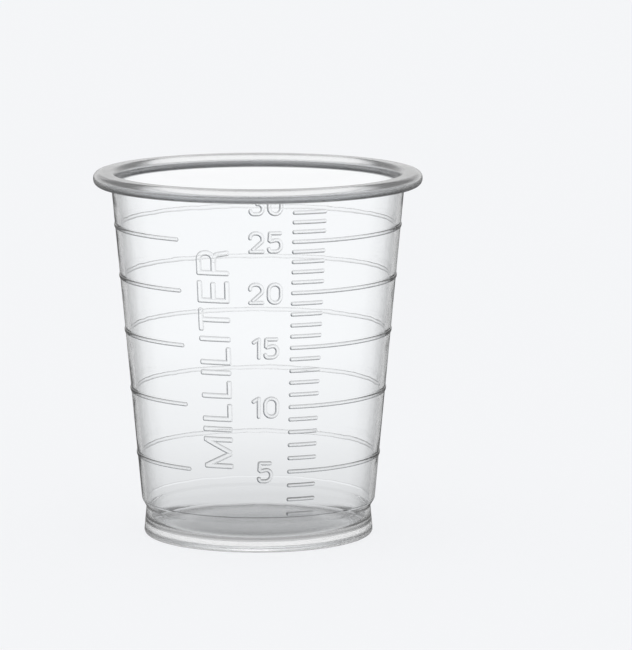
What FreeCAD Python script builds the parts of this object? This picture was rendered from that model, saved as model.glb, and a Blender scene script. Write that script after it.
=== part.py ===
"""Graduated medicine cup of 30 ml, thermoformed in one piece from clear polypropylene sheet.

The cup is a turned shell: a foot with a lifted centre panel, a waist and shoulder that let cups
stack, a tapered wall, and a rim rolled outwards. Raised graduations stand on the outside of the
wall, each at the height to which that many millilitres fill the cup. A short tick marks every
millilitre, and every fifth one runs on round the cup as a ring.

Millimetres and degrees, Z up. The origin is the centre of the circle the foot stands on, and the
front, where the graduations start, faces -Y.
"""
import FreeCAD
import Part
import Sketcher

from collections import namedtuple
import math
import os

# The driving dimensions: name, value, what it is. Radii and heights are of outside faces.
DIMENSIONS = [
    ("wall", 0.6, "thickness of the wall and floor"),
    ("lip_wall", 0.5, "thickness of the rolled sheet in the rim"),
    ("base_radius", 13.78, "foot where it stands"),
    ("base_bend", 0.35, "outer bend at the foot's standing edge"),
    ("foot_ring", 2.38, "from the foot's edge in to the lifted centre panel of the base"),
    ("panel_lift", 0.4, "height of that panel's underside"),
    ("floor_bend", 0.7, "inner bend between floor and foot"),
    ("waist_inset", 0.3, "how far the waist lies inside the foot's edge"),
    ("waist_height", 3.35, "height of the waist"),
    ("shoulder_step", 0.52, "how far the shoulder, where the tapered wall starts, stands out from the waist"),
    ("shoulder_height", 4.25, "height of the shoulder"),
    ("stack_bend", 0.9, "bends of the outer shoulder and the inner waist"),
    ("rim_radius", 19.65, "rolled rim"),
    ("rim_height", 43.7, "top of the cup"),
    ("roll_reach", 2.0, "how far the rolled rim stands out from the top of the wall"),
    ("roll_height", 1.6, "rolled rim, top to bottom"),
    ("roll_flat", 0.1, "upright face of the rolled rim, between its two outer bends"),
    ("crown_bend", 0.8, "bend where the wall turns over into the rim"),
    ("lip_gap", 0.15, "between the rolled lip's edge and the wall"),
    ("mark_width", 0.5, "height of a raised line where it meets the wall"),
    ("mark_crest", 0.3, "height of a raised line's flat top"),
    ("mark_relief", 0.15, "how far a raised line stands out"),
    ("mark_root", 0.2, "how far a raised line's solid reaches into the wall"),
    ("mark_start", 13.4, "left end of all raised lines, degrees right of the front"),
    ("tick_end", 27.6, "right end of the ticks, degrees right of the front"),
    ("ring_end", 33.0, "far end of the rings, degrees left of the front"),
    ("first_mark", 2, "lowest mark, millilitres"),
    ("ring_every", 5, "millilitres from one ring to the next"),
    ("mark_headroom", 0.5, "least height between the highest mark and the rolled rim"),
]

# Measures that follow from the driving dimensions, as expressions over the sheet
PANEL_RADIUS = "(Dims.base_radius - Dims.foot_ring)"
WAIST_RADIUS = "(Dims.base_radius - Dims.waist_inset)"
SHOULDER_RADIUS = f"({WAIST_RADIUS} + Dims.shoulder_step)"
MOUTH_RADIUS = "(Dims.rim_radius - Dims.roll_reach)"
LEAN = f"(({MOUTH_RADIUS} - {SHOULDER_RADIUS}) / (Dims.rim_height - Dims.shoulder_height))"
FLOOR = "(Dims.panel_lift + Dims.wall)"
# The panel's step slopes at 45 degrees, so one wall away from it the corners lie this much further out
STEP_SHIFT = "tan(45 / 2) * Dims.wall"
ROLL_TOP = "(Dims.rim_height - Dims.lip_wall)"
ROLL_BOTTOM = "(Dims.rim_height - Dims.roll_height)"
ROLL_BEND = "(Dims.roll_height - Dims.roll_flat) / 2"
INNER_SHOULDER = f"({SHOULDER_RADIUS} - Dims.wall)"
FOOT_BORE = f"((Dims.base_radius + {WAIST_RADIUS}) / 2 - Dims.wall)"
FOOT_VOLUME = f"(pi * {FOOT_BORE}^2 * (Dims.shoulder_height - {FLOOR}))"
CUBIC_MM_PER_ML = 1000

# Straight facets that stand for the bends of the foot's edge, shoulder, waist, floor and rim
EDGE_FACETS = 1
STACK_FACETS = 1
FLOOR_FACETS = 2
RIM_FACETS = 3

# A corner of an outline: x, y and bend radius are expressions, and a bend has that many facets
Corner = namedtuple("Corner", "x y bend facets", defaults=(None, 0))


def wall_radius(height):
    """Outer radius of the tapered wall at a height, both as expressions."""
    return f"({SHOULDER_RADIUS} + ({height} - Dims.shoulder_height) * {LEAN})"


def fill_height(millilitres):
    """Height of the liquid, as an expression: the foot is a cylinder and the wall above it a cone."""
    above = f"({millilitres} * {CUBIC_MM_PER_ML} - {FOOT_VOLUME})"
    radius = f"cbrt({INNER_SHOULDER}^3 + 3 * {LEAN} * {above} / pi)"
    return f"(Dims.shoulder_height + ({radius} - {INNER_SHOULDER}) / {LEAN})"


def make_sheet(doc):
    """Write the driving dimensions into the document's sheet, one row each."""
    sheet = doc.addObject("Spreadsheet::Sheet", "Dims")
    for row, (name, value, note) in enumerate(DIMENSIONS, start=1):
        sheet.set(f"A{row}", name)
        sheet.set(f"B{row}", str(value))
        sheet.setAlias(f"B{row}", name)
        sheet.set(f"C{row}", note)
    doc.recompute()
    return sheet


def make_sketch(body, name):
    """A sketch on the body's XZ plane, where x is the radius and y the height."""
    plane = next(item for item in body.Origin.OriginFeatures if item.Role == "XZ_Plane")
    sketch = body.newObject("Sketcher::SketchObject", name)
    sketch.AttachmentSupport = [(plane, "")]
    sketch.MapMode = "FlatFace"
    return sketch


def fixed_distance(sketch, kind, element, position, expression):
    """A constraint that holds one coordinate of a point to an expression, or on an axis at 0."""
    if expression == "0":
        axis = {"DistanceX": -2, "DistanceY": -1}[kind]
        return Sketcher.Constraint("PointOnObject", element, position, axis), None
    value = sketch.evalExpression(expression)
    return Sketcher.Constraint(kind, -1, 1, element, position, value), expression


def bend_points(before, corner, after, radius, facets):
    """Centre of the arc that rounds a corner, and the points that divide it into equal facets."""
    arriving = (corner - before).normalize()
    leaving = (after - corner).normalize()
    turn = arriving.getAngle(leaving)
    side = math.copysign(1.0, arriving.x * leaving.y - arriving.y * leaving.x)
    start = corner - arriving * radius * math.tan(turn / 2)
    centre = start + FreeCAD.Vector(-arriving.y, arriving.x, 0) * side * radius
    angles = [side * turn * n / facets for n in range(facets + 1)]
    turned = [FreeCAD.Rotation(FreeCAD.Vector(0, 0, 1), math.degrees(angle)) for angle in angles]
    return centre, [centre + rotation.multVec(start - centre) for rotation in turned]


def add_bend(sketch, centre, points, arriving, leaving, bend):
    """Join two lines by facets between points of a tangent arc, which is construction geometry."""
    first_spoke, last_spoke = points[0] - centre, points[-1] - centre
    counter_clockwise = first_spoke.cross(last_spoke).z > 0
    circle = Part.Circle(centre, FreeCAD.Vector(0, 0, 1), first_spoke.Length)
    ends = [math.atan2(spoke.y, spoke.x) for spoke in (first_spoke, last_spoke)]
    low, high = ends if counter_clockwise else reversed(ends)
    arc = sketch.addGeometry(Part.ArcOfCircle(circle, low, high), True)
    first, last = (1, 2) if counter_clockwise else (2, 1)
    facets = [sketch.addGeometry(Part.LineSegment(*pair)) for pair in zip(points, points[1:])]
    rules = [
        (Sketcher.Constraint("Tangent", arriving, 2, arc, first), None),
        (Sketcher.Constraint("Tangent", leaving, 1, arc, last), None),
        (Sketcher.Constraint("Radius", arc, first_spoke.Length), bend),
        (Sketcher.Constraint("Coincident", arriving, 2, facets[0], 1), None),
        (Sketcher.Constraint("Coincident", facets[-1], 2, leaving, 1), None),
    ]
    for one, other in zip(facets, facets[1:]):
        rules.append((Sketcher.Constraint("Coincident", one, 2, other, 1), None))
        rules.append((Sketcher.Constraint("PointOnObject", one, 2, arc), None))
        rules.append((Sketcher.Constraint("Equal", one, other), None))
    return rules


def draw_outline(sketch, corners):
    """Draw a closed outline whose every corner is held by its expressions."""
    spots = [FreeCAD.Vector(sketch.evalExpression(c.x), sketch.evalExpression(c.y), 0) for c in corners]
    bends = {}
    for n, corner in enumerate(corners):
        if corner.bend:
            after = spots[(n + 1) % len(spots)]
            radius = sketch.evalExpression(corner.bend)
            bends[n] = bend_points(spots[n - 1], spots[n], after, radius, corner.facets)
    starts = [bends[n][1][-1] if n in bends else spot for n, spot in enumerate(spots)]
    ends = [bends[n][1][0] if n in bends else spot for n, spot in enumerate(spots)]
    ends.append(ends.pop(0))
    lines = [sketch.addGeometry(Part.LineSegment(*pair)) for pair in zip(starts, ends)]
    rules = []
    for n, corner in enumerate(corners):
        arriving, leaving = lines[n - 1], lines[n]
        if n in bends:
            rules += add_bend(sketch, *bends[n], arriving, leaving, corner.bend)
            held = sketch.addGeometry(Part.Point(spots[n]), True)
            rules.append((Sketcher.Constraint("PointOnObject", held, 1, arriving), None))
            rules.append((Sketcher.Constraint("PointOnObject", held, 1, leaving), None))
        else:
            rules.append((Sketcher.Constraint("Coincident", arriving, 2, leaving, 1), None))
            held = leaving
        rules.append(fixed_distance(sketch, "DistanceX", held, 1, corner.x))
        rules.append(fixed_distance(sketch, "DistanceY", held, 1, corner.y))
    numbers = sketch.addConstraint([constraint for constraint, expression in rules])
    for number, (constraint, expression) in zip(numbers, rules):
        if expression:
            sketch.setExpression(f"Constraints[{number}]", expression)


def revolve(body, sketch, name):
    """Turn a sketch about its height axis and add the solid to the body."""
    turned = body.newObject("PartDesign::Revolution", name)
    turned.Profile = sketch
    turned.ReferenceAxis = (sketch, ["V_Axis"])
    body.Tip = turned
    return turned


def make_shell(body):
    """The whole wall: from the base's centre up the outside, round the rim and down the inside."""
    outside = [
        Corner("0", "Dims.panel_lift"),
        Corner(PANEL_RADIUS, "Dims.panel_lift"),
        Corner(f"{PANEL_RADIUS} + Dims.panel_lift", "0"),
        Corner("Dims.base_radius", "0", "Dims.base_bend", EDGE_FACETS),
        Corner(WAIST_RADIUS, "Dims.waist_height"),
        Corner(SHOULDER_RADIUS, "Dims.shoulder_height", "Dims.stack_bend", STACK_FACETS),
    ]
    roll_inside = "Dims.rim_radius - Dims.lip_wall"
    lip_edge = f"({wall_radius(ROLL_BOTTOM)} + Dims.lip_gap)"
    rolled_rim = [
        Corner(wall_radius(ROLL_TOP), ROLL_TOP),
        Corner(roll_inside, ROLL_TOP),
        Corner(roll_inside, f"{ROLL_BOTTOM} + Dims.lip_wall"),
        Corner(lip_edge, f"{ROLL_BOTTOM} + Dims.lip_wall"),
        Corner(lip_edge, ROLL_BOTTOM),
        Corner("Dims.rim_radius", ROLL_BOTTOM, ROLL_BEND, RIM_FACETS),
        Corner("Dims.rim_radius", "Dims.rim_height", ROLL_BEND, RIM_FACETS),
        Corner(f"{MOUTH_RADIUS} - Dims.wall", "Dims.rim_height", "Dims.crown_bend", RIM_FACETS),
    ]
    inside = [
        Corner(INNER_SHOULDER, "Dims.shoulder_height"),
        Corner(f"{WAIST_RADIUS} - Dims.wall", "Dims.waist_height", "Dims.stack_bend", STACK_FACETS),
        Corner("Dims.base_radius - Dims.wall", "Dims.wall", "Dims.floor_bend", FLOOR_FACETS),
        Corner(f"{PANEL_RADIUS} + Dims.panel_lift + {STEP_SHIFT}", "Dims.wall"),
        Corner(f"{PANEL_RADIUS} + {STEP_SHIFT}", FLOOR),
        Corner("0", FLOOR),
    ]
    section = make_sketch(body, "ShellSection")
    draw_outline(section, outside + rolled_rim + inside)
    revolve(body, section, "Shell").Angle = 360


def make_marks(body, name, levels, sweep):
    """Raised lines at those fill levels, all from the same left end, as one turned feature."""
    section = make_sketch(body, f"{name}Section")
    from_side = section.evalExpression("Dims.mark_start - 90")
    upright_turn = FreeCAD.Rotation(FreeCAD.Vector(0, 1, 0), from_side)
    section.AttachmentOffset = FreeCAD.Placement(FreeCAD.Vector(), upright_turn)
    section.setExpression("AttachmentOffset.Rotation.Angle", "Dims.mark_start - 90")
    flank = "(Dims.mark_width - Dims.mark_crest) / 2"
    crest_half = "Dims.mark_crest / 2"
    root_half = f"(Dims.mark_width / 2 + {flank} * Dims.mark_root / Dims.mark_relief)"
    for level in levels:
        height = fill_height(level)
        root = f"{wall_radius(height)} - Dims.mark_root"
        crest = f"{wall_radius(height)} + Dims.mark_relief"
        corners = [
            Corner(root, f"{height} - {root_half}"),
            Corner(crest, f"{height} - {crest_half}"),
            Corner(crest, f"{height} + {crest_half}"),
            Corner(root, f"{height} + {root_half}"),
        ]
        draw_outline(section, corners)
    revolve(body, section, name).setExpression("Angle", sweep)


def mark_levels(sheet):
    """The whole millilitres that have a mark: from the first to the last that clears the rim."""
    highest = sheet.evalExpression(f"{ROLL_BOTTOM} - Dims.mark_headroom - Dims.mark_width / 2")
    levels = [int(sheet.first_mark)]
    while sheet.evalExpression(fill_height(levels[-1] + 1)) <= highest:
        levels.append(levels[-1] + 1)
    return levels


def make_cup(doc, sheet):
    """The cup: its shell, the rings and the ticks."""
    body = doc.addObject("PartDesign::Body", "Cup")
    body.Label = "cup"
    body.Placement = FreeCAD.Placement()
    make_shell(body)
    every = int(sheet.ring_every)
    levels = mark_levels(sheet)
    rings = [n for n in levels if n % every == 0]
    make_marks(body, "Rings", rings, "360 - Dims.ring_end - Dims.mark_start")
    for ring in range(0, levels[-1], every):
        ticks = [n for n in levels if ring < n < ring + every]
        make_marks(body, f"TicksAbove{ring}", ticks, "Dims.tick_end - Dims.mark_start")
    return body


def check(doc, parts):
    """Stop on any object that failed to compute and on any part that is not one valid solid."""
    for item in doc.Objects:
        if "Invalid" in item.State or "Error" in item.State:
            raise RuntimeError(f"{item.Name} failed: {item.State}")
    for part in parts:
        if part.Shape.isNull() or not part.Shape.isValid() or len(part.Shape.Solids) != 1:
            raise RuntimeError(f"{part.Label} is not one valid solid")


def main():
    doc = FreeCAD.newDocument("MedicineCup")
    sheet = make_sheet(doc)
    parts = [make_cup(doc, sheet)]
    doc.recompute()
    check(doc, parts)
    os.makedirs("parts", exist_ok=True)
    for part in parts:
        part.Shape.exportStep(f"parts/{part.Label}.step")
        print(f"{part.Label}: {part.Shape.Volume:.1f} mm3, {len(part.Shape.Faces)} faces")


main()
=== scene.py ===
"""Finishes the medicine cup: round bends, soft graduations, numbers, clear plastic and a plain studio.

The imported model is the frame. The cup is turned again with its bends round, its graduations and
lettering are raised from the wall as one skin with it, and it stands in for the CAD node. The file
is laid out as a Blender add-on: one operator for each step of the making, in the order in which
main runs them. Lengths are in metres, with Z up and the front of the cup facing -Y.
"""

from collections import Counter, namedtuple
import math

import bmesh
import bpy
from bpy.props import FloatProperty, FloatVectorProperty, IntProperty, PointerProperty
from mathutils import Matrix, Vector


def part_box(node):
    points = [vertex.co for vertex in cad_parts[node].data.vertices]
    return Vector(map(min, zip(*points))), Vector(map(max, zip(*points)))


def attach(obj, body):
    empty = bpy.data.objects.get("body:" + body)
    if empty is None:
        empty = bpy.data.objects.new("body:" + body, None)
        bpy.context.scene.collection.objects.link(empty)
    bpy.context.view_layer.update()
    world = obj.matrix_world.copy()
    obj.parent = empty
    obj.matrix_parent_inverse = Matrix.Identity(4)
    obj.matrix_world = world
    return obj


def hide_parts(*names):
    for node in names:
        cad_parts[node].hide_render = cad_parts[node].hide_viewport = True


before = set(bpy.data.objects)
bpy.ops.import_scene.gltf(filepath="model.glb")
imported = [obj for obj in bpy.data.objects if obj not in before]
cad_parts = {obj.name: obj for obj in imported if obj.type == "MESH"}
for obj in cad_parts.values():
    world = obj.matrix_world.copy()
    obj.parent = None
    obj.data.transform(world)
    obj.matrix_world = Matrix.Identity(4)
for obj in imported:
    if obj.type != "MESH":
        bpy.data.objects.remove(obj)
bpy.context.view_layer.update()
CUP_LOW, CUP_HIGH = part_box("cup")

bl_info = {
    "name": "Medicine cup",
    "version": (1, 0, 0),
    "blender": (4, 5, 0),
    "location": "View3D > Sidebar > Medicine cup",
    "description": "Clear medicine cup with raised graduations, and the studio it stands in",
    "category": "Object",
}

MM = 0.001
MILLILITRE = 1e-6
CUP_NAME = "clear_cup"

# Points this near to the axis or to a cutting plane lie on it
ON_PLANE = 1e-9

# Points closer than these are merged: in the turned shell, in a bent strip, and at slivers that the
# joins left
SAME_POINT = 1e-8
CROWDED = 2e-5
SLIVER = 2e-6

# Edges of a mark that turn by more than this are rounded
SHARP = math.radians(60)

# How much taller than its crest's rounding a mark is made, before it is pressed down to the relief
CREST_ROOM = 1.15

# Facets in the bends of a stroke, in the corners of a mark seen from the front, and in its crest
STROKE_SEGMENTS = 7
CORNER_SEGMENTS = 5
CREST_SEGMENTS = 4

# Faces within the first angle of the cone are shaded as the cone. Flanks past the second take their
# full painted shade. Faces that turn in more than the third number, a cosine, belong to the inside
ON_CONE = math.radians(3)
STEEP = math.radians(8)
INWARD = -0.1

# The mesh attribute that holds how much shade is painted on a mark's flank. The painted shade is less on
# an upper flank and on a right one, more on a lower and a left one, and fades towards the back of the cup
FLANK_SHADE_ATTRIBUTE = "flank"
FLANK_SHADE_MIDDLE = 0.57
FLANK_SHADE_UPPER = 0.3
FLANK_SHADE_RIGHT = 0.35
FLANK_SHADE_BACK = 0.8

# Each list of stops below holds (place, value) pairs
# Painted shade on the rolled rim, darkest near its bottom: from its bottom, 0, to its top, 1, and across its
# outermost part
ROLL_SHADE_STOPS = (
    (0.0, 0.0), (0.06, 0.6), (0.14, 0.95), (0.22, 0.85), (0.32, 0.58),
    (0.45, 0.3), (0.6, 0.1), (0.75, 0.0),
)
RIM_SHADE_STOPS = ((0.0, 1.0), (0.2, 1.0), (0.32, 0.0), (0.78, 0.0), (0.84, 1.0))
RIM_SHADE_PART = 3 * MM

# Brightness of the sheet, a painted shade that darkens it from seen square on, 0, to seen along its face, 1
GLANCE_SHADE_STOPS = (
    (0.4, 1.0), (0.47, 0.96), (0.56, 0.91), (0.62, 0.82),
    (0.66, 0.72), (0.73, 0.66), (0.79, 0.57), (0.9, 0.55),
)

# Brightness from the floor up, 0 to 1: painted shade darkens the foot's edge where it stands
FOOT_SHADE_STOPS = ((0.0, 0.5), (0.003, 0.5), (0.008, 1.0))

# Roughness from the floor up: satin at the floor and the rolled rim, clear between them
SATIN_STOPS = ((0.0, 0.2), (0.025, 0.2), (0.035, 0.03), (0.961, 0.03), (0.967, 0.17))

# Brightness, from the floor up, of a painted glow that stands in for light mirrored more often than this in
# the sheet
GUIDED_GLOW_STOPS = ((0.0, 0.95), (0.035, 0.95), (0.06, 0.15), (0.96, 0.15), (0.97, 0.5))
OFTEN_MIRRORED = 3.5

# Brightness of the floor through the plastic by metres from the axis, a painted shadow that is darkest under
# the cup's panel, paler under the foot ring and pale further off; and brightness of the room by height
FLOOR_SHADOW_STOPS = (
    (0.0, 0.2), (0.01, 0.28), (0.0115, 0.75), (0.0145, 0.75), (0.016, 0.7),
    (0.035, 0.8), (0.07, 0.9), (0.15, 0.975),
)
ROOM_STOPS = ((0.0, 0.95), (0.25, 0.9), (0.4, 0.5), (0.6, 0.45), (0.8, 1.0))

# Brightness of the floor where the plastic mirrors it, a painted dark reflection, and the share of its
# shading that the eye sees
PAINTED_REFLECTION_GREY = 0.18
SHADED_SHARE = 0.12


def length(name, millimetres, description):
    """A size in metres with its default given in millimetres."""
    return FloatProperty(
        name=name, description=description, default=millimetres * MM,
        unit="LENGTH", subtype="DISTANCE", precision=5,
    )


def angle(name, degrees, description):
    """An angle with its default given in degrees."""
    return FloatProperty(
        name=name, description=description, default=math.radians(degrees),
        unit="ROTATION", subtype="ANGLE",
    )


def linear(hex_colour):
    """An sRGB colour such as "f5f6f8" as linear red, green and blue."""
    parts = [int(hex_colour[n:n + 2], 16) / 255 for n in (0, 2, 4)]
    return tuple(p / 12.92 if p <= 0.04045 else ((p + 0.055) / 1.055) ** 2.4 for p in parts)


def colour(name, hex_colour, description):
    """A colour with its default given as an sRGB hex value."""
    return FloatVectorProperty(
        name=name, description=description, default=linear(hex_colour),
        subtype="COLOR", size=3, min=0.0, max=1.0,
    )


class ShellSizes(bpy.types.PropertyGroup):
    """The turned wall. Radii and heights are of outside faces."""
    wall: length("Wall", 0.6, "Thickness of the wall and floor")
    lip_wall: length("Lip wall", 0.72, "Thickness of the rolled sheet in the rim, which all but closes up")
    panel_radius: length("Panel radius", 11.4, "Lifted centre panel of the base")
    panel_lift: length("Panel lift", 0.4, "Height of that panel's underside")
    panel_bend: length("Panel bend", 0.6, "Bends at the panel's step")
    base_radius: length("Base radius", 13.78, "Foot where it stands")
    base_bend: length("Base bend", 0.45, "Bend at the foot's standing edge")
    floor_bend: length("Floor bend", 1.5, "Inner bend between floor and foot")
    waist_radius: length("Waist radius", 13.48, "Narrowest part of the foot")
    waist_height: length("Waist height", 3.35, "Height of the waist")
    waist_bend: length("Waist bend", 0.35, "Outer bend of the waist and inner bend of the shoulder")
    shoulder_radius: length("Shoulder radius", 14.0, "Shoulder where the tapered wall starts")
    shoulder_height: length("Shoulder height", 4.25, "Height of the shoulder")
    stack_bend: length("Stacking bend", 0.6, "Bends of the outer shoulder and the inner waist")
    roll_reach: length("Roll reach", 2.0, "How far the rolled rim stands out from the wall")
    roll_height: length("Roll height", 1.6, "Rolled rim, top to bottom")
    roll_bend: length("Roll bend", 0.75, "Outer bends of the rolled rim")
    hollow_bend: length("Hollow bend", 0.07, "Bends of the hollow inside the roll")
    crown_bend: length("Crown bend", 0.8, "Bend where the wall turns over into the rim")
    lip_gap: length("Lip gap", 0.15, "Between the rolled lip's edge and the wall")
    lip_edge_bend: length("Lip edge bend", 0.2, "Rounding of the lip's cut edge")
    bend_segments: IntProperty(
        name="Bend segments", description="Facets in each round bend", default=8, min=2,
    )
    turn_segments: IntProperty(
        name="Turn segments", description="Facets round the cup", default=288, min=64,
    )


class MarkSizes(bpy.types.PropertyGroup):
    """The raised lines, numbers and unit word. Angles are from the front, positive to the right."""
    relief: length("Relief", 0.1, "How far a mark stands out of the wall")
    root: length("Root", 0.2, "How far a mark reaches into the wall before it is joined")
    crest_round: length("Crest round", 0.2, "How far in from a mark's edge its crest is rounded")
    line_width: length("Line width", 0.5, "Height of a ring or tick")
    line_round: length("Line round", 0.22, "Rounding of a line's ends")
    start: angle("Start", 13.4, "Left end of every ring and tick")
    tick_end: angle("Tick end", 27.6, "Right end of the ticks")
    ring_end: angle("Ring end", -33.0, "Far end of the rings, left of the front")
    number_height: length("Number height", 2.67, "Height of a number")
    number_stroke: length("Number stroke", 0.5, "Stroke of a number")
    number_gap: length("Number gap", 0.24, "Between the two digits of a number")
    number_angle: angle("Number angle", 3.0, "Middle of the numbers")
    number_drop: length("Number drop", 1.25, "How much lower the highest number stands, to clear the rim")
    word_height: length("Word height", 3.85, "Height of the unit word's letters")
    word_stroke: length("Word stroke", 0.65, "Stroke of the unit word's letters")
    word_gap: length("Word gap", 0.6, "Between the unit word's letters")
    word_angle: angle("Word angle", -18.5, "Middle of the unit word")
    word_middle: length("Word middle", 23.3, "Height of the middle of the unit word")
    letter_round: length("Letter round", 0.23, "Rounding of the corners of numbers and letters")
    layer_sink: length("Layer sink", 0.004, "How much lower every second stroke of a letter lies")
    slice: length("Slice", 0.45, "Longest straight stretch of a mark round the wall")
    first_mark: IntProperty(name="First mark", description="Lowest mark, in millilitres", default=2, min=1)
    last_mark: IntProperty(name="Last mark", description="Highest mark, in millilitres", default=28, min=1)
    ring_every: IntProperty(name="Ring every", description="Millilitres from ring to ring", default=5, min=1)
    top_number: IntProperty(
        name="Top number", description="Highest number, in millilitres", default=30, min=1,
    )
    rim_overlap: length("Rim overlap", 0.1, "How far the highest number reaches up behind the rolled rim")


class FinishColours(bpy.types.PropertyGroup):
    """Colours of the plastic, of the shade painted on it, and of the studio."""
    plastic: colour("Plastic", "fdfeff", "Clear plastic")
    # Painted shade for the marks' flanks, mixed into the plastic's colour
    plastic_flank: colour("Flank", "34383e", "The same sheet on the marks' flanks")
    # Painted shade for the underside of the rolled rim, mixed into the plastic's colour
    plastic_roll: colour("Roll", "3a3d41", "The same sheet where the rim rolls under")
    backdrop: colour("Backdrop", "f5f6f8", "Floor and background")


class StudioSizes(bpy.types.PropertyGroup):
    """Camera, lamp and floor. The camera is worked out from the photograph's perspective."""
    camera_back: length("Camera back", 575.8, "Camera in front of the cup's axis")
    camera_height: length("Camera height", 112.65, "Camera above the floor")
    aim_right: length("Aim right", 6.93, "Where the camera aims, right of the axis")
    aim_height: length("Aim height", 25.1, "Where the camera aims, above the floor")
    lens: FloatProperty(name="Lens", description="Focal length", default=269.2, unit="CAMERA")
    sensor: FloatProperty(name="Sensor", description="Long side of the sensor", default=36.0, unit="CAMERA")
    lamp_strength: FloatProperty(
        name="Lamp strength", description="Brightness of the overhead lamp", default=0.6, min=0.0,
    )
    lamp_spread: angle("Lamp spread", 60.0, "How wide the overhead lamp is, seen from the cup")
    lamp_tilt: angle("Lamp tilt", 25.0, "How far the overhead lamp stands in front of the cup")
    lamp_turn: angle("Lamp turn", -20.0, "How far the overhead lamp stands to one side")
    floor_radius: length("Floor radius", 3000.0, "Floor")


class CupSettings(bpy.types.PropertyGroup):
    """Everything that a user would change."""
    shell: PointerProperty(type=ShellSizes)
    marks: PointerProperty(type=MarkSizes)
    colours: PointerProperty(type=FinishColours)
    studio: PointerProperty(type=StudioSizes)


# A corner of an outline in a plane: its place and the radius of its bend
Corner = namedtuple("Corner", "x y bend", defaults=(0.0,))


def rim_radius():
    """Outer radius of the rolled rim, which stays inside the CAD model's box."""
    return min(CUP_HIGH[0], CUP_HIGH[1], -CUP_LOW[0], -CUP_LOW[1])


def rim_height():
    """Top of the cup, from the CAD model."""
    return CUP_HIGH[2]


def lean(shell):
    """How far the wall moves out for each metre up."""
    mouth = rim_radius() - shell.roll_reach
    return (mouth - shell.shoulder_radius) / (rim_height() - shell.shoulder_height)


def wall_radius(shell, height):
    """Outer radius of the tapered wall at a height."""
    return shell.shoulder_radius + (height - shell.shoulder_height) * lean(shell)


def fill_height(shell, millilitres):
    """Height of the liquid: the foot is a cylinder inside and the wall above it a cone."""
    inner_shoulder = shell.shoulder_radius - shell.wall
    bore = (shell.base_radius + shell.waist_radius) / 2 - shell.wall
    foot = math.pi * bore ** 2 * (shell.shoulder_height - shell.panel_lift - shell.wall)
    above = millilitres * MILLILITRE - foot
    radius = (inner_shoulder ** 3 + 3 * lean(shell) * above / math.pi) ** (1 / 3)
    return shell.shoulder_height + (radius - inner_shoulder) / lean(shell)


def round_corners(bm, verts, corners, segments):
    """Round each corner that has a bend with an arc tangent to its two edges."""
    spots = [vert.co.copy() for vert in verts]
    for n, (vert, corner) in enumerate(zip(verts, corners)):
        if not corner.bend:
            continue
        arriving = spots[n] - spots[n - 1]
        leaving = spots[(n + 1) % len(spots)] - spots[n]
        tangent = corner.bend * math.tan(arriving.angle(leaving) / 2)
        bmesh.ops.bevel(
            bm, geom=[vert], offset=tangent, offset_type="OFFSET", affect="VERTICES",
            segments=segments, profile=0.5, material=-1, clamp_overlap=False,
        )


def shell_corners(shell):
    """The wall's section: from the base's centre up the outside, round the rim and down the inside."""
    top = rim_height()
    rim = rim_radius()
    mouth = rim - shell.roll_reach
    wall = shell.wall
    floor = shell.panel_lift + wall
    roll_bottom = top - shell.roll_height
    hollow_top = top - shell.lip_wall
    hollow_bottom = roll_bottom + shell.lip_wall
    lip_edge = wall_radius(shell, roll_bottom) + shell.lip_gap
    return [
        Corner(0.0, shell.panel_lift),
        Corner(shell.panel_radius, shell.panel_lift, shell.panel_bend),
        Corner(shell.panel_radius + shell.panel_lift, 0.0, shell.panel_bend),
        Corner(shell.base_radius, 0.0, shell.base_bend),
        Corner(shell.waist_radius, shell.waist_height, shell.waist_bend),
        Corner(shell.shoulder_radius, shell.shoulder_height, shell.stack_bend),
        Corner(wall_radius(shell, hollow_top), hollow_top, shell.hollow_bend),
        Corner(rim - shell.lip_wall, hollow_top, shell.hollow_bend),
        Corner(rim - shell.lip_wall, hollow_bottom, shell.hollow_bend),
        Corner(lip_edge, hollow_bottom, shell.lip_edge_bend),
        Corner(lip_edge, roll_bottom, shell.lip_edge_bend),
        Corner(rim, roll_bottom, shell.roll_bend),
        Corner(rim, top, shell.roll_bend),
        Corner(mouth - wall, top, shell.crown_bend),
        Corner(shell.shoulder_radius - wall, shell.shoulder_height, shell.waist_bend),
        Corner(shell.waist_radius - wall, shell.waist_height, shell.stack_bend),
        Corner(shell.base_radius - wall, floor, shell.floor_bend),
        Corner(0.0, floor),
    ]


def turned_shell(shell):
    """The closed wall as a bmesh: its section rounded and spun about the axis."""
    corners = shell_corners(shell)
    bm = bmesh.new()
    verts = [bm.verts.new((corner.x, 0.0, corner.y)) for corner in corners]
    section = bm.faces.new(verts)
    round_corners(bm, verts, corners, shell.bend_segments)
    bmesh.ops.delete(bm, geom=bm.faces[:], context="FACES_ONLY")
    on_axis = [edge for edge in bm.edges if all(abs(vert.co.x) < ON_PLANE for vert in edge.verts)]
    bmesh.ops.delete(bm, geom=on_axis, context="EDGES")
    bmesh.ops.spin(
        bm, geom=bm.verts[:] + bm.edges[:], cent=(0, 0, 0), axis=(0, 0, 1), dvec=(0, 0, 0),
        angle=math.tau, steps=shell.turn_segments, use_merge=True, use_duplicate=False,
    )
    bmesh.ops.remove_doubles(bm, verts=bm.verts[:], dist=SAME_POINT)
    bmesh.ops.recalc_face_normals(bm, faces=bm.faces[:])
    return bm


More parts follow.
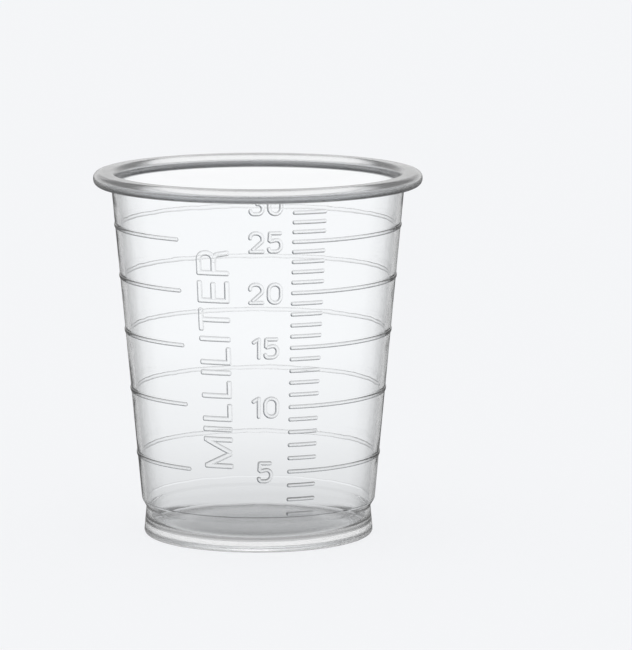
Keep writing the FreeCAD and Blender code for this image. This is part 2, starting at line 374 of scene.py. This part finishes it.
def glyph_strokes(glyph, half):
    """(width, strokes) of a plain sans letter or digit, in cap heights; half is half a stroke.

    A stroke is a run of corners (x, y) or (x, y, bend) along its middle. A stroke whose last corner
    is its first is closed. Only neighbours in the list of strokes cross.
    """
    top = 1 - half
    digit = 0.72
    side = digit - half
    bowl = (digit - 2 * half) / 2
    oval = [(half, half, bowl), (side, half, bowl), (side, top, bowl), (half, top, bowl)]
    drawn = {
        "I": (2 * half, [[(half, 0), (half, 1)]]),
        "L": (0.57, [[(half, 1), (half, half), (0.57, half)]]),
        "T": (0.72, [[(0, top), (0.72, top)], [(0.36, top), (0.36, 0)]]),
        "E": (0.70, [[(0.70, top), (half, top), (half, half), (0.70, half)], [(half, 0.5), (0.66, 0.5)]]),
        "R": (0.81, [
            [(half, 0), (half, 1)],
            [(half, top), (0.78 - half, top, 0.2), (0.78 - half, 0.47, 0.2), (half, 0.47)],
            [(0.38, 0.47), (0.64, 0.44, 0.16), (0.81 - half, 0)],
        ]),
        "M": (1.0, [
            [(half, 0), (half, 1)],
            [(half, 0.93), (0.5, 0.05)],
            [(0.5, 0.05), (1 - half, 0.93)],
            [(1 - half, 0), (1 - half, 1)],
        ]),
        "0": (digit, [oval + oval[:1]]),
        "1": (0.44, [[(0.44 - half, 0), (0.44 - half, 1)], [(0.04, 0.72), (0.44 - half, 0.93)]]),
        "2": (digit, [
            [
                (half, 0.6), (half, top, 0.2), (side, top, bowl),
                (side, 0.56, 0.16), (half + 0.05, half + 0.03),
            ],
            [(0, half), (digit, half)],
        ]),
        "3": (digit, [
            [
                (half, 0.67), (half, top, 0.14), (side - 0.02, top, 0.19),
                (side - 0.02, 0.54, 0.17), (0.3, 0.54),
            ],
            [(0.3, 0.54), (side, 0.54, 0.2), (side, half, 0.22), (half, half, 0.14), (half, 0.32)],
        ]),
        "5": (digit, [
            [(digit - 0.05, top), (half + 0.04, top), (half + 0.02, 0.5)],
            [(half - 0.01, 0.53), (side, 0.66, 0.22), (side, half, 0.25), (half, half, 0.12), (half, 0.3)],
        ]),
    }
    return drawn[glyph]


def stroke_strips(bm, text, height, stroke, gap, layer):
    """Upright strips along every second stroke of a word's letters, centred on the origin."""
    half = stroke / height / 2
    drawn = [glyph_strokes(glyph, half) for glyph in text]
    across = sum(width for width, strokes in drawn) * height + gap * (len(text) - 1)
    left = -across / 2
    for width, strokes in drawn:
        for corners in strokes[layer::2]:
            placed = [
                Corner(left + c[0] * height, (c[1] - 0.5) * height, c[2] * height if len(c) > 2 else 0.0)
                for c in corners
            ]
            line_strip(bm, placed)
        left += width * height + gap


def line_strip(bm, corners):
    """A strip that stands on the XY plane along a run of corners, one metre high."""
    closed = corners[0] == corners[-1]
    if closed:
        corners = corners[:-1]
    run = bmesh.new()
    verts = [run.verts.new((corner.x, corner.y, 0.0)) for corner in corners]
    for one, other in zip(verts, verts[1:]):
        run.edges.new((one, other))
    if closed:
        run.edges.new((verts[-1], verts[0]))
    round_corners(run, verts, corners, STROKE_SEGMENTS)
    bmesh.ops.remove_doubles(run, verts=run.verts[:], dist=CROWDED)
    raised = bmesh.ops.extrude_edge_only(run, edges=run.edges[:])
    tops = [item for item in raised["geom"] if isinstance(item, bmesh.types.BMVert)]
    bmesh.ops.translate(run, vec=(0, 0, 1), verts=tops)
    bmesh.ops.recalc_face_normals(run, faces=run.faces[:])
    collect(bm, run)


def thickened(bm, stroke):
    """The strips as closed bars, as wide as the stroke."""
    bar = object_from(bm, "bars")
    solid = bar.modifiers.new("Stroke", "SOLIDIFY")
    solid.thickness = stroke
    solid.offset = 0
    solid.use_even_offset = True
    solid.use_quality_normals = True
    apply_modifiers(bar)
    bars = bmesh.new()
    bars.from_mesh(bar.data)
    remove_object(bar)
    return bars


def soften(bars, marks, corner_round, sink=0.0):
    """Round the bars' upright corners and their crests, then press them down to the relief."""
    tall = marks.crest_round * CREST_ROOM
    for vert in bars.verts:
        vert.co.z = tall if vert.co.z > 0.5 else -marks.root
    bmesh.ops.recalc_face_normals(bars, faces=bars.faces[:])
    uprights = [
        edge for edge in bars.edges
        if abs(edge.verts[0].co.z - edge.verts[1].co.z) > marks.root
        and edge.calc_face_angle(0.0) > SHARP and edge.is_convex
    ]
    round_edges(bars, uprights, corner_round, CORNER_SEGMENTS)
    crests = [
        edge for edge in bars.edges
        if min(vert.co.z for vert in edge.verts) > tall * 0.99
        and edge.calc_face_angle(0.0) > SHARP
    ]
    round_edges(bars, crests, marks.crest_round, CREST_SEGMENTS)
    for vert in bars.verts:
        if vert.co.z > 0:
            vert.co.z *= marks.relief / tall
        vert.co.z -= sink


def round_edges(bm, edges, radius, segments):
    """Round these edges with arcs."""
    bmesh.ops.bevel(
        bm, geom=edges, offset=radius, offset_type="OFFSET", affect="EDGES",
        segments=segments, profile=0.5, material=-1, clamp_overlap=False,
    )


def sliced(bm, longest):
    """Cut a flat piece into slices narrow enough to follow the round wall."""
    low = min(vert.co.x for vert in bm.verts)
    high = max(vert.co.x for vert in bm.verts)
    count = math.ceil((high - low) / longest)
    for n in range(1, count):
        place = low + (high - low) * n / count
        bmesh.ops.bisect_plane(
            bm, geom=bm.verts[:] + bm.edges[:] + bm.faces[:], dist=ON_PLANE,
            plane_co=(place, 0, 0), plane_no=(1, 0, 0),
        )


def wrapped(bm, shell, middle, level):
    """Lay a flat piece on the wall, its origin at an angle from the front and a height."""
    slope = math.atan(lean(shell))
    radius = wall_radius(shell, level)
    for vert in bm.verts:
        across, up, out = vert.co
        turn = middle + across / radius
        reach = radius + up * math.sin(slope) + out * math.cos(slope)
        height = level + up * math.cos(slope) - out * math.sin(slope)
        vert.co = (reach * math.sin(turn), -reach * math.cos(turn), height)


def cut_above(bm, height):
    """Cut closed pieces off at a height and close them again."""
    cut = bmesh.ops.bisect_plane(
        bm, geom=bm.verts[:] + bm.edges[:] + bm.faces[:], dist=ON_PLANE,
        plane_co=(0, 0, height), plane_no=(0, 0, 1), clear_outer=True,
    )
    rims = [item for item in cut["geom_cut"] if isinstance(item, bmesh.types.BMEdge)]
    bmesh.ops.edgenet_fill(bm, edges=rims)
    bmesh.ops.recalc_face_normals(bm, faces=bm.faces[:])


def object_from(bm, name):
    """A mesh object that holds the bmesh, which is freed."""
    mesh = bpy.data.meshes.new(name)
    bm.to_mesh(mesh)
    bm.free()
    made = bpy.data.objects.new(name, mesh)
    bpy.context.scene.collection.objects.link(made)
    return made


def apply_modifiers(made):
    """Replace an object's mesh by what its modifiers make of it."""
    bpy.context.view_layer.update()
    evaluated = made.evaluated_get(bpy.context.evaluated_depsgraph_get())
    mesh = bpy.data.meshes.new_from_object(evaluated)
    made.modifiers.clear()
    old = made.data
    made.data = mesh
    mesh.name = made.name
    bpy.data.meshes.remove(old)


def remove_object(made):
    """Delete an object and its mesh."""
    mesh = made.data
    bpy.data.objects.remove(made)
    bpy.data.meshes.remove(mesh)


def raise_from_wall(cup, pieces):
    """Join closed pieces to the cup's wall, so that nothing is left inside the plastic."""
    tool = object_from(pieces, "raised")
    union = cup.modifiers.new("Raised", "BOOLEAN")
    union.operation = "UNION"
    union.solver = "MANIFOLD"
    union.object = tool
    before = len(cup.data.polygons)
    apply_modifiers(cup)
    remove_object(tool)
    if len(cup.data.polygons) <= before:
        raise RuntimeError("the marks were not joined to the wall")


def collect(bm, part):
    """Add one bmesh to another and free it."""
    mesh = bpy.data.meshes.new("part")
    part.to_mesh(mesh)
    part.free()
    bm.from_mesh(mesh)
    bpy.data.meshes.remove(mesh)


def add_numbers(raised, shell, marks, layer):
    """Every second stroke of the numbers, each beside its ring."""
    for number in range(marks.ring_every, marks.top_number + 1, marks.ring_every):
        flat = bmesh.new()
        stroke_strips(flat, str(number), marks.number_height, marks.number_stroke, marks.number_gap, layer)
        if not flat.verts:
            flat.free()
            continue
        flat = thickened(flat, marks.number_stroke)
        soften(flat, marks, marks.letter_round, layer * marks.layer_sink)
        sliced(flat, marks.slice)
        drop = marks.number_drop if number > marks.last_mark else 0.0
        wrapped(flat, shell, marks.number_angle, fill_height(shell, number) - drop)
        if drop:
            cut_above(flat, rim_height() - shell.roll_height + marks.rim_overlap)
        collect(raised, flat)


def add_word(raised, shell, marks, layer):
    """Every second stroke of the unit word, which reads upwards."""
    flat = bmesh.new()
    stroke_strips(flat, "MILLILITER", marks.word_height, marks.word_stroke, marks.word_gap, layer)
    flat = thickened(flat, marks.word_stroke)
    soften(flat, marks, marks.letter_round, layer * marks.layer_sink)
    for vert in flat.verts:
        vert.co.xy = (-vert.co.y, vert.co.x)
    sliced(flat, marks.slice)
    wrapped(flat, shell, marks.word_angle, marks.word_middle)
    collect(raised, flat)


def clean_joins(cup):
    """Take out the slivers that the joins leave."""
    bm = bmesh.new()
    bm.from_mesh(cup.data)
    bmesh.ops.remove_doubles(bm, verts=bm.verts[:], dist=SLIVER)
    bmesh.ops.dissolve_degenerate(bm, edges=bm.edges[:], dist=SLIVER)
    bm.to_mesh(cup.data)
    bm.free()


def shade_smooth(cup):
    """Smooth shading that is held by the large faces."""
    for polygon in cup.data.polygons:
        polygon.use_smooth = True
    weighted = cup.modifiers.new("Weighted", "WEIGHTED_NORMAL")
    weighted.mode = "FACE_AREA"
    apply_modifiers(cup)


def shade_wall(cup, shell):
    """Shade the outer wall and the marks' crests as the cone they lie on, and store the shade painted on the
    marks' flanks.

    The edges between them are marked sharp, so that neither side's shading runs into the other.
    """
    mesh = cup.data
    slope = math.atan(lean(shell))
    normals = [corner.vector.copy() for corner in mesh.corner_normals]
    flank = mesh.attributes.new(FLANK_SHADE_ATTRIBUTE, "FLOAT", "CORNER").data
    roll_bottom = rim_height() - shell.roll_height
    on_cone = Counter()
    for polygon in mesh.polygons:
        wall = cone_normal(polygon.center, slope)
        upright = polygon.normal.dot(wall)
        if upright > math.cos(ON_CONE):
            on_cone.update(polygon.edge_keys)
            for corner in polygon.loop_indices:
                place = mesh.vertices[mesh.loops[corner].vertex_index].co
                normals[corner] = cone_normal(place, slope)
        elif upright > INWARD and shell.shoulder_height < polygon.center.z < roll_bottom:
            # The flank's painted shade, kept in the flank attribute
            grey = flank_grey(polygon.normal, wall)
            for corner in polygon.loop_indices:
                flank[corner].value = grey
    for edge in mesh.edges:
        edge.use_edge_sharp = on_cone[edge.key] == 1
    mesh.normals_split_custom_set(normals)


def flank_grey(normal, wall):
    """The shade painted on a flank, from its own direction and the wall's."""
    steep = min(math.acos(min(normal.dot(wall), 1.0)) / STEEP, 1.0)
    leaning = (normal - wall).normalized()
    right = Vector((-wall.y, wall.x, 0.0)).normalized()
    shaded = FLANK_SHADE_MIDDLE - FLANK_SHADE_UPPER * leaning.z - FLANK_SHADE_RIGHT * leaning.dot(right)
    return steep * shaded * (1.0 - FLANK_SHADE_BACK * max(wall.y, 0.0))


def cone_normal(place, slope):
    """The outward direction of a cone about the axis that widens upwards."""
    across = place.xy.normalized() * math.cos(slope)
    return Vector((across.x, across.y, -math.sin(slope)))


def add_node(tree, kind, inputs=None, stops=(), **settings):
    """Add a node, set its properties and fill its inputs with values or other nodes' outputs.

    The stops are for a colour ramp: (place, grey) pairs in rising order.
    """
    node = tree.nodes.new(kind)
    for name, value in settings.items():
        setattr(node, name, value)
    for socket, value in (inputs or {}).items():
        if isinstance(value, bpy.types.NodeSocket):
            tree.links.new(value, node.inputs[socket])
        else:
            node.inputs[socket].default_value = value
    if stops:
        elements = node.color_ramp.elements
        elements.remove(elements[1])
        elements[0].position = stops[0][0]
        for position, grey in stops[1:]:
            elements.new(position)
        for element, (position, grey) in zip(elements, stops):
            element.color = (grey, grey, grey, 1)
    return node


def clear_polypropylene(shell, colours):
    """Clear polypropylene sheet, thermoformed: bright and glossy, with shade painted where it turns away, on
    the marks' flanks, low on the rolled rim and at the foot's standing edge.

    The sheet was drawn into a mould, so its faces are smooth but not optically flat: a slow ripple
    bends what is seen through it, and a trace of haze takes the hardness off it. Light that is
    guided along inside the sheet comes out where the sheet is seen at a glance, most of all in
    the foot. The renderer gives up on such light, so here it is a painted glow, a brightness by height.
    """
    material = bpy.data.materials.new("clear_polypropylene")
    material.use_nodes = True
    tree = material.node_tree
    tree.nodes.clear()
    place = add_node(tree, "ShaderNodeTexCoord").outputs["Object"]
    ripple = add_node(tree, "ShaderNodeTexNoise", {"Vector": place, "Scale": 160.0, "Detail": 2.0})
    bump = add_node(tree, "ShaderNodeBump", {
        "Height": ripple.outputs["Fac"], "Strength": 0.05, "Distance": 0.001,
    })
    height = add_node(tree, "ShaderNodeSeparateXYZ", {"Vector": place}).outputs["Z"]
    flat_place = add_node(tree, "ShaderNodeVectorMath", {0: place, 1: (1, 1, 0)}, operation="MULTIPLY")
    reach = add_node(tree, "ShaderNodeVectorMath", {0: flat_place.outputs["Vector"]}, operation="LENGTH")
    across_rim = add_node(tree, "ShaderNodeMapRange", {
        "Value": reach.outputs["Value"], "From Min": rim_radius() - RIM_SHADE_PART, "From Max": rim_radius(),
    }).outputs["Result"]
    up_roll = add_node(tree, "ShaderNodeMapRange", {
        "Value": height, "From Min": rim_height() - shell.roll_height, "From Max": rim_height(),
    }).outputs["Result"]
    up_cup = add_node(tree, "ShaderNodeMapRange", {
        "Value": height, "From Min": 0.0, "From Max": rim_height(),
    }).outputs["Result"]
    facing = add_node(tree, "ShaderNodeLayerWeight", {"Blend": 0.5}).outputs["Facing"]
    rolled, rim_shade_mask, edge, foot, satin, guided = (
        add_node(tree, "ShaderNodeValToRGB", {"Fac": factor}, stops=stops).outputs["Color"]
        for factor, stops in (
            (up_roll, ROLL_SHADE_STOPS), (across_rim, RIM_SHADE_STOPS), (facing, GLANCE_SHADE_STOPS),
            (up_cup, FOOT_SHADE_STOPS), (up_cup, SATIN_STOPS), (up_cup, GUIDED_GLOW_STOPS),
        )
    )
    # Painted shade under the rolled rim
    roll = add_node(tree, "ShaderNodeMath", {0: rolled, 1: rim_shade_mask}, operation="MULTIPLY").outputs["Value"]
    # Painted shade on the marks' flanks
    flank = add_node(tree, "ShaderNodeAttribute", attribute_name=FLANK_SHADE_ATTRIBUTE).outputs["Fac"]
    colour_and_painted_shade = add_node(tree, "ShaderNodeMixRGB", {
        "Fac": flank, "Color1": (*colours.plastic, 1), "Color2": (*colours.plastic_flank, 1),
    }).outputs["Color"]
    colour_and_painted_shade = add_node(tree, "ShaderNodeMixRGB", {
        "Fac": roll, "Color1": colour_and_painted_shade, "Color2": (*colours.plastic_roll, 1),
    }).outputs["Color"]
    # Painted shade where the sheet is seen at a glance and at the foot's standing edge
    for painted_shade in (edge, foot):
        colour_and_painted_shade = add_node(tree, "ShaderNodeMixRGB", {
            "Fac": 1.0, "Color1": colour_and_painted_shade, "Color2": painted_shade,
        }, blend_type="MULTIPLY").outputs["Color"]
    plastic = add_node(tree, "ShaderNodeBsdfPrincipled", {
        "Base Color": colour_and_painted_shade, "Roughness": satin, "IOR": 1.49, "Transmission Weight": 1.0,
        "Specular Tint": (0.15, 0.15, 0.15, 1), "Normal": bump.outputs["Normal"],
    })
    light_path = add_node(tree, "ShaderNodeLightPath")
    lets_light_through = add_node(tree, "ShaderNodeBsdfTransparent", {"Color": (0.93, 0.93, 0.94, 1)})
    mixed = add_node(tree, "ShaderNodeMixShader", {
        "Fac": light_path.outputs["Is Shadow Ray"],
        1: plastic.outputs["BSDF"], 2: lets_light_through.outputs["BSDF"],
    })
    # Painted glow: an emission by height, strongest at a glance, where light has been mirrored often
    long_path = add_node(tree, "ShaderNodeMath", {
        0: light_path.outputs["Glossy Depth"], 1: OFTEN_MIRRORED,
    }, operation="GREATER_THAN").outputs["Value"]
    glow_at_glance = add_node(tree, "ShaderNodeMapRange", {
        "Value": facing, "From Min": 0.3, "From Max": 0.65, "To Min": 0.1, "To Max": 1.25,
    }).outputs["Result"]
    painted_glow = add_node(tree, "ShaderNodeEmission", {"Color": guided, "Strength": glow_at_glance})
    mixed = add_node(tree, "ShaderNodeMixShader", {
        "Fac": long_path, 1: mixed.outputs["Shader"], 2: painted_glow.outputs["Emission"],
    })
    add_node(tree, "ShaderNodeOutputMaterial", {"Surface": mixed.outputs["Shader"]})
    return material


def studio_floor(colours):
    """Matt pale paper, with no texture that would show at this size.

    The eye sees it evenly lit with a trace of the cup's shadow. Through the plastic it shows a painted
    shadow, dark right under the cup and pale further off. What the plastic mirrors of it is a painted
    dark reflection, darker still.
    """
    material = bpy.data.materials.new("pale_paper")
    material.use_nodes = True
    tree = material.node_tree
    tree.nodes.clear()
    place = add_node(tree, "ShaderNodeTexCoord").outputs["Object"]
    distance = add_node(tree, "ShaderNodeVectorMath", {0: place}, operation="LENGTH").outputs["Value"]
    # Painted shadow of the cup, seen on the floor through the plastic
    through = add_node(
        tree, "ShaderNodeValToRGB", {"Fac": distance}, stops=FLOOR_SHADOW_STOPS,
    ).outputs["Color"]
    light_path = add_node(tree, "ShaderNodeLightPath").outputs
    lit = add_node(tree, "ShaderNodeBsdfDiffuse", {"Color": (*colours.backdrop, 1)}).outputs["BSDF"]
    # The plain backdrop, the painted shadow seen through the plastic, and the painted dark reflection
    plain, painted_floor_shadow, painted_reflection = (
        add_node(tree, "ShaderNodeEmission", {"Color": shine}).outputs["Emission"]
        for shine in ((*colours.backdrop, 1), through, (*[PAINTED_REFLECTION_GREY] * 3, 1))
    )
    seen = add_node(tree, "ShaderNodeMixShader", {
        "Fac": SHADED_SHARE, 1: plain, 2: lit,
    }).outputs["Shader"]
    mixed = lit
    for is_ray, shader in (
        ("Is Camera Ray", seen), ("Is Glossy Ray", painted_reflection), ("Is Transmission Ray", painted_floor_shadow),
    ):
        mixed = add_node(tree, "ShaderNodeMixShader", {
            "Fac": light_path[is_ray], 1: mixed, 2: shader,
        }).outputs["Shader"]
    add_node(tree, "ShaderNodeOutputMaterial", {"Surface": mixed})
    return material


class MEDICINE_CUP_OT_turn_shell(bpy.types.Operator):
    """Turn the cup's wall, floor, foot and rolled rim in one"""
    bl_idname = "medicine_cup.turn_shell"
    bl_label = "Turn the shell"

    def execute(self, context):
        shell = context.scene.medicine_cup.shell
        cup = object_from(turned_shell(shell), CUP_NAME)
        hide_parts("cup")
        return {"FINISHED"}


class MEDICINE_CUP_OT_raise_graduations(bpy.types.Operator):
    """Raise the rings and ticks from the wall, each at its fill height"""
    bl_idname = "medicine_cup.raise_graduations"
    bl_label = "Raise the graduations"

    def execute(self, context):
        settings = context.scene.medicine_cup
        shell, marks = settings.shell, settings.marks
        ring_sweep = math.tau - (marks.start - marks.ring_end)
        raised = bmesh.new()
        for millilitres in range(marks.first_mark, marks.last_mark + 1):
            level = fill_height(shell, millilitres)
            is_ring = millilitres % marks.ring_every == 0
            sweep = ring_sweep if is_ring else marks.tick_end - marks.start
            reach = sweep * wall_radius(shell, level) / 2
            line = bmesh.new()
            line_strip(line, [Corner(-reach, 0.0), Corner(reach, 0.0)])
            line = thickened(line, marks.line_width)
            soften(line, marks, marks.line_round)
            sliced(line, marks.slice)
            wrapped(line, shell, marks.start + sweep / 2, level)
            collect(raised, line)
        raise_from_wall(bpy.data.objects[CUP_NAME], raised)
        return {"FINISHED"}


class MEDICINE_CUP_OT_raise_lettering(bpy.types.Operator):
    """Raise the numbers and the unit word from the wall"""
    bl_idname = "medicine_cup.raise_lettering"
    bl_label = "Raise the lettering"

    def execute(self, context):
        settings = context.scene.medicine_cup
        for layer in (0, 1):
            raised = bmesh.new()
            add_numbers(raised, settings.shell, settings.marks, layer)
            add_word(raised, settings.shell, settings.marks, layer)
            raise_from_wall(bpy.data.objects[CUP_NAME], raised)
        return {"FINISHED"}


class MEDICINE_CUP_OT_finish_plastic(bpy.types.Operator):
    """Give the cup its clear plastic and smooth shading"""
    bl_idname = "medicine_cup.finish_plastic"
    bl_label = "Finish the plastic"

    def execute(self, context):
        settings = context.scene.medicine_cup
        cup = bpy.data.objects[CUP_NAME]
        clean_joins(cup)
        shade_smooth(cup)
        shade_wall(cup, settings.shell)
        cup.data.materials.clear()
        cup.data.materials.append(clear_polypropylene(settings.shell, settings.colours))
        for polygon in cup.data.polygons:
            polygon.material_index = 0
        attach(cup, "root")
        return {"FINISHED"}


class MEDICINE_CUP_OT_set_studio(bpy.types.Operator):
    """Set the floor, the background, the lamp and the camera"""
    bl_idname = "medicine_cup.set_studio"
    bl_label = "Set the studio"

    def execute(self, context):
        settings = context.scene.medicine_cup
        set_floor(settings)
        set_world(context.scene, settings.colours)
        set_lamp(context.scene, settings.studio)
        set_camera(context.scene, settings.studio)
        context.scene.view_settings.view_transform = "Standard"
        return {"FINISHED"}


def set_floor(settings):
    """A large round floor under the cup."""
    bm = bmesh.new()
    bmesh.ops.create_circle(bm, cap_ends=True, radius=settings.studio.floor_radius, segments=96)
    floor = object_from(bm, "floor")
    floor.data.materials.append(studio_floor(settings.colours))


def set_world(scene, colours):
    """The background, and a room round it: light at the horizon and overhead, darker between."""
    world = bpy.data.worlds.new("studio")
    world.use_nodes = True
    tree = world.node_tree
    tree.nodes.clear()
    light_path = add_node(tree, "ShaderNodeLightPath")
    direction = add_node(tree, "ShaderNodeTexCoord").outputs["Generated"]
    height = add_node(tree, "ShaderNodeSeparateXYZ", {"Vector": direction}).outputs["Z"]
    room = add_node(tree, "ShaderNodeValToRGB", {"Fac": height}, stops=ROOM_STOPS).outputs["Color"]
    seen = add_node(tree, "ShaderNodeBackground", {"Color": (*colours.backdrop, 1)})
    around = add_node(tree, "ShaderNodeBackground", {"Color": room})
    mixed = add_node(tree, "ShaderNodeMixShader", {
        "Fac": light_path.outputs["Is Camera Ray"],
        1: around.outputs["Background"], 2: seen.outputs["Background"],
    })
    add_node(tree, "ShaderNodeOutputWorld", {"Surface": mixed.outputs["Shader"]})
    scene.world = world


def set_lamp(scene, studio):
    """One broad soft lamp above and in front."""
    lamp = bpy.data.lights.new("overhead", "SUN")
    lamp.energy = studio.lamp_strength
    lamp.angle = studio.lamp_spread
    made = bpy.data.objects.new("overhead", lamp)
    made.rotation_euler = (studio.lamp_tilt, 0, studio.lamp_turn)
    scene.collection.objects.link(made)


def set_camera(scene, studio):
    """The camera, at the photograph's viewing angle."""
    data = bpy.data.cameras.new("camera")
    data.sensor_fit = "AUTO"
    data.sensor_width = studio.sensor
    data.lens = studio.lens
    data.clip_start = 0.01
    data.clip_end = 100.0
    camera = bpy.data.objects.new("camera", data)
    camera.location = (0.0, -studio.camera_back, studio.camera_height)
    aim = Vector((studio.aim_right, 0.0, studio.aim_height))
    camera.rotation_euler = (aim - camera.location).to_track_quat("-Z", "Y").to_euler()
    scene.collection.objects.link(camera)
    scene.camera = camera


class MEDICINE_CUP_PT_panel(bpy.types.Panel):
    """The steps of the making and the sizes they use"""
    bl_label = "Medicine cup"
    bl_idname = "MEDICINE_CUP_PT_panel"
    bl_space_type = "VIEW_3D"
    bl_region_type = "UI"
    bl_category = "Medicine cup"

    def draw(self, context):
        settings = context.scene.medicine_cup
        for step in STEPS:
            self.layout.operator(step.bl_idname)
        for group in (settings.shell, settings.marks, settings.colours, settings.studio):
            box = self.layout.box()
            for name in group.__annotations__:
                box.prop(group, name)


STEPS = (
    MEDICINE_CUP_OT_turn_shell,
    MEDICINE_CUP_OT_raise_graduations,
    MEDICINE_CUP_OT_raise_lettering,
    MEDICINE_CUP_OT_finish_plastic,
    MEDICINE_CUP_OT_set_studio,
)
CLASSES = (ShellSizes, MarkSizes, FinishColours, StudioSizes, CupSettings, *STEPS, MEDICINE_CUP_PT_panel)


def register():
    for cls in CLASSES:
        bpy.utils.register_class(cls)
    bpy.types.Scene.medicine_cup = PointerProperty(type=CupSettings)


def unregister():
    del bpy.types.Scene.medicine_cup
    for cls in reversed(CLASSES):
        bpy.utils.unregister_class(cls)


def main():
    """Make the cup and its studio."""
    register()
    bpy.ops.medicine_cup.turn_shell()
    bpy.ops.medicine_cup.raise_graduations()
    bpy.ops.medicine_cup.raise_lettering()
    bpy.ops.medicine_cup.finish_plastic()
    bpy.ops.medicine_cup.set_studio()


if __name__ == "__main__":
    main()
